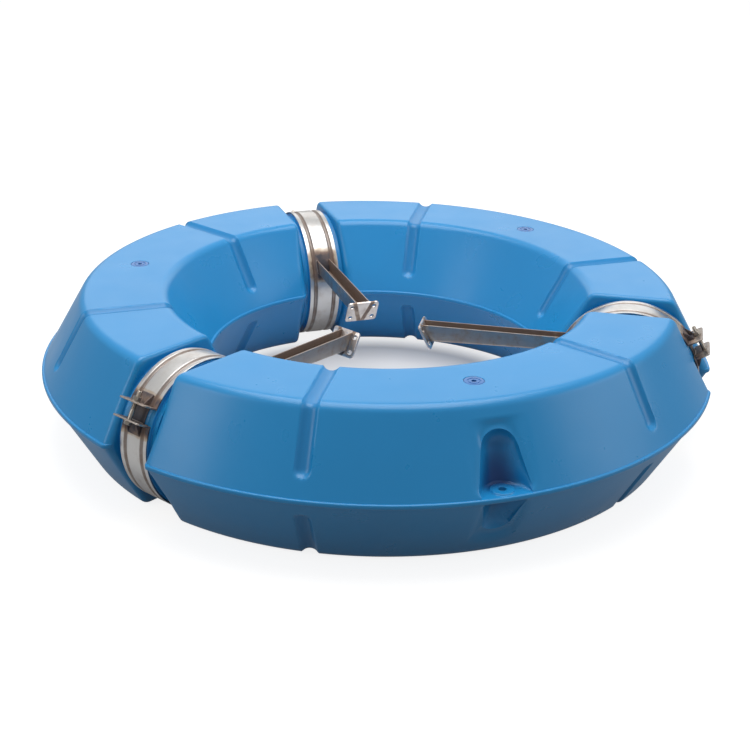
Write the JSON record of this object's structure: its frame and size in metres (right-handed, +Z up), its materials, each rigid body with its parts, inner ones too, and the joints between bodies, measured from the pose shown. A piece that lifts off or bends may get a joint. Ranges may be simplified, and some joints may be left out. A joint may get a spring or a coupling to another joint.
{
  "type": "aerator float ring",
  "caption": "Ring-shaped pontoon of hollow plastic floats joined by ribbed band clamps, whose inward arms carry tilted plates for a pond aerator's pump.",
  "frame": {"origin": "on the ring's axis, in the plane of the floats' flat undersides", "axes": "+Z up along the ring's axis; +Y through the middle of the first clamp"},
  "size_m": [1.3, 1.2983, 0.28],
  "materials": {
    "float_plastic": "satin",
    "float_foam": "matte",
    "plug_plastic": "satin",
    "seal_rubber": "matte",
    "band_steel": "polished",
    "arm_steel": "satin",
    "fastener_steel": "satin"
  },
  "bodies": {
    "ring": {"float_shell_1": "float_plastic", "float_foam_1": "float_foam", "float_shell_2": "float_plastic", "float_foam_2": "float_foam", "float_shell_3": "float_plastic", "float_foam_3": "float_foam"},
    "clamp_1": {"clamp_band_1": "band_steel", "gap_bridge_1": "band_steel", "upper_lug_1": "arm_steel", "lower_lug_1": "arm_steel", "clamp_washers_1": "fastener_steel", "arm_channel_1": "arm_steel", "mounting_plate_1": "arm_steel"},
    "bolt_1": {"clamp_bolt_1": "fastener_steel"},
    "nut_1": {"clamp_nut_1": "fastener_steel"},
    "seal_1": {"plug_seal_1": "seal_rubber"},
    "plug_1": {"filler_plug_1": "plug_plastic"},
    "clamp_2": {"clamp_band_2": "band_steel", "gap_bridge_2": "band_steel", "upper_lug_2": "arm_steel", "lower_lug_2": "arm_steel", "clamp_washers_2": "fastener_steel", "arm_channel_2": "arm_steel", "mounting_plate_2": "arm_steel"},
    "bolt_2": {"clamp_bolt_2": "fastener_steel"},
    "nut_2": {"clamp_nut_2": "fastener_steel"},
    "seal_2": {"plug_seal_2": "seal_rubber"},
    "plug_2": {"filler_plug_2": "plug_plastic"},
    "clamp_3": {"clamp_band_3": "band_steel", "gap_bridge_3": "band_steel", "upper_lug_3": "arm_steel", "lower_lug_3": "arm_steel", "clamp_washers_3": "fastener_steel", "arm_channel_3": "arm_steel", "mounting_plate_3": "arm_steel"},
    "bolt_3": {"clamp_bolt_3": "fastener_steel"},
    "nut_3": {"clamp_nut_3": "fastener_steel"},
    "seal_3": {"plug_seal_3": "seal_rubber"},
    "plug_3": {"filler_plug_3": "plug_plastic"}
  },
  "joints": [
    {"name": "clamp_swivel_1", "type": "hinge", "parent": "ring", "child": "clamp_1", "pos_m": [0, 0.489, 0.14], "axis": [-1, 0, 0], "range_deg": [-12, 12]},
    {"name": "bolt_turn_1", "type": "hinge", "parent": "clamp_1", "child": "bolt_1", "pos_m": [0, 0.62237, 0.217], "axis": [0, 0.5, -0.866], "range_deg": [0, 2521]},
    {"name": "nut_travel_1", "type": "slide", "parent": "clamp_1", "child": "nut_1", "axis": [0, -0.5, 0.866], "range_m": [0, 0.00875]},
    {"name": "seal_lift_1", "type": "slide", "parent": "ring", "child": "seal_1", "axis": [0, 0, 1], "range_m": [0, 0.0115]},
    {"name": "plug_turn_1", "type": "hinge", "parent": "seal_1", "child": "plug_1", "pos_m": [-0.42175, 0.2435, 0.28], "axis": [0, 0, 1], "range_deg": [0, 1800]},
    {"name": "clamp_swivel_2", "type": "hinge", "parent": "ring", "child": "clamp_2", "pos_m": [-0.42349, -0.2445, 0.14], "axis": [0.5, -0.866, 0], "range_deg": [-12, 12]},
    {"name": "bolt_turn_2", "type": "hinge", "parent": "clamp_2", "child": "bolt_2", "pos_m": [-0.53899, -0.31118, 0.217], "axis": [-0.433, -0.25, -0.866], "range_deg": [0, 2521]},
    {"name": "nut_travel_2", "type": "slide", "parent": "clamp_2", "child": "nut_2", "axis": [0.433, 0.25, 0.866], "range_m": [0, 0.00875]},
    {"name": "seal_lift_2", "type": "slide", "parent": "ring", "child": "seal_2", "axis": [0, 0, 1], "range_m": [0, 0.0115]},
    {"name": "plug_turn_2", "type": "hinge", "parent": "seal_2", "child": "plug_2", "pos_m": [0, -0.487, 0.28], "axis": [0, 0, 1], "range_deg": [0, 1800]},
    {"name": "clamp_swivel_3", "type": "hinge", "parent": "ring", "child": "clamp_3", "pos_m": [0.42349, -0.2445, 0.14], "axis": [0.5, 0.866, 0], "range_deg": [-12, 12]},
    {"name": "bolt_turn_3", "type": "hinge", "parent": "clamp_3", "child": "bolt_3", "pos_m": [0.53899, -0.31118, 0.217], "axis": [0.433, -0.25, -0.866], "range_deg": [0, 2521]},
    {"name": "nut_travel_3", "type": "slide", "parent": "clamp_3", "child": "nut_3", "axis": [-0.433, 0.25, 0.866], "range_m": [0, 0.00875]},
    {"name": "seal_lift_3", "type": "slide", "parent": "ring", "child": "seal_3", "axis": [0, 0, 1], "range_m": [0, 0.0115]},
    {"name": "plug_turn_3", "type": "hinge", "parent": "seal_3", "child": "plug_3", "pos_m": [0.42175, 0.2435, 0.28], "axis": [0, 0, 1], "range_deg": [0, 1800]}
  ],
  "couplings": [
    {"joint": "bolt_turn_1", "follows": "nut_travel_1", "rad_per_m": 5026.5},
    {"joint": "plug_turn_1", "follows": "seal_lift_1", "rad_per_m": 2721.2},
    {"joint": "bolt_turn_2", "follows": "nut_travel_2", "rad_per_m": 5026.5},
    {"joint": "plug_turn_2", "follows": "seal_lift_2", "rad_per_m": 2721.2},
    {"joint": "bolt_turn_3", "follows": "nut_travel_3", "rad_per_m": 5026.5},
    {"joint": "plug_turn_3", "follows": "seal_lift_3", "rad_per_m": 2721.2}
  ]
}
